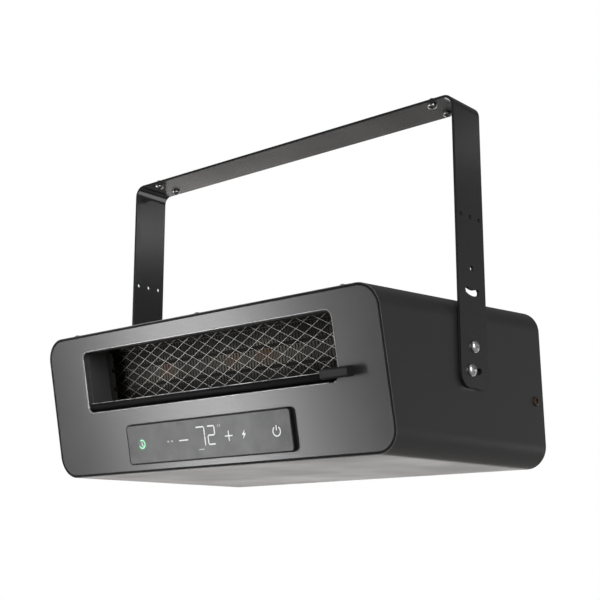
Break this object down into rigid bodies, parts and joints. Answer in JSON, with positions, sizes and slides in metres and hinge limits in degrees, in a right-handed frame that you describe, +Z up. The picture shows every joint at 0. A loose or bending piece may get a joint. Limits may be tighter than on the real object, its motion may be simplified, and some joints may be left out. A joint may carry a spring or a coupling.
{
  "type": "fan heater",
  "caption": "Ceiling-hung electric fan heater: a wedge-shaped sleeve tilts in a U-shaped strap and blows warm air through a guarded outlet with a louver.",
  "frame": {"origin": "middle of the strap's top face, which lies against the ceiling", "axes": "+X to the viewer's right along the tilt axis, +Y from the outlet to the rear, +Z up"},
  "size_m": [0.5054, 0.3221, 0.3918],
  "materials": {
    "black_powder": "fine matt black powder coat",
    "panel_grey": "satin dark grey coat",
    "zinc": "bright zinc plate",
    "brass": "dull passivated plate",
    "duct_plastic": "black heat-proof moulding",
    "knob_plastic": "dark grey fine-grained moulding",
    "bezel_plastic": "black moulding",
    "touch_film": "printed dark film",
    "mesh_steel": "bright galvanised",
    "sheet_steel": "galvanised sheet",
    "fin_aluminium": "mill finish, heat tinted",
    "bar_aluminium": "dark anodised",
    "cap_plastic": "high-temperature moulding",
    "motor_steel": "semi-gloss black",
    "fan_plastic": "glass-filled nylon",
    "board_green": "solder mask",
    "relay_plastic": "moulded case",
    "terminal_plastic": "moulded nylon",
    "gland_plastic": "nylon"
  },
  "bodies": {
    "bracket": {"bracket_strap": "black_powder", "ceiling_screws": "zinc"},
    "louver": {"louver_blade": "duct_plastic", "louver_pins": "zinc", "louver_knob": "knob_plastic"},
    "fan": {"fan_impeller": "fan_plastic", "fan_shaft": "zinc"},
    "housing": {"housing_sleeve": "black_powder", "front_panel": "panel_grey", "rear_panel": "black_powder", "outlet_frame": "duct_plastic", "mesh_guard": "mesh_steel", "core_frame": "sheet_steel", "core_screws": "zinc", "heater_bars": "bar_aluminium", "heater_fins": "fin_aluminium", "core_end_caps": "cap_plastic", "thermal_cutout": "cap_plastic", "control_bezel": "bezel_plastic", "touch_plate": "touch_film", "control_board": "board_green", "display_module": "bezel_plastic", "fan_baffle": "sheet_steel", "motor_bracket": "sheet_steel", "fan_motor": "motor_steel", "pivot_bolts": "zinc", "lock_bolts": "zinc", "spacer_washers": "zinc", "nut_plates": "sheet_steel", "top_screws": "zinc", "side_screws": "brass", "power_board": "board_green", "board_standoffs": "cap_plastic", "relay_blocks": "relay_plastic", "terminal_block": "terminal_plastic", "cable_gland": "gland_plastic"}
  },
  "joints": [
    {"name": "housing_tilt", "type": "hinge", "parent": "bracket", "child": "housing", "pos_m": [0, 0, -0.27], "axis": [1, 0, 0], "range_deg": [-7, 37]},
    {"name": "louver_turn", "type": "hinge", "parent": "housing", "child": "louver", "pos_m": [0, -0.13644, -0.30877], "axis": [1, 0, 0], "range_deg": [-10, 30]},
    {"name": "fan_spin", "type": "hinge", "parent": "housing", "child": "fan", "pos_m": [0, 0.10263, -0.29748], "axis": [0, 0.9993, 0.0384], "continuous": true}
  ]
}
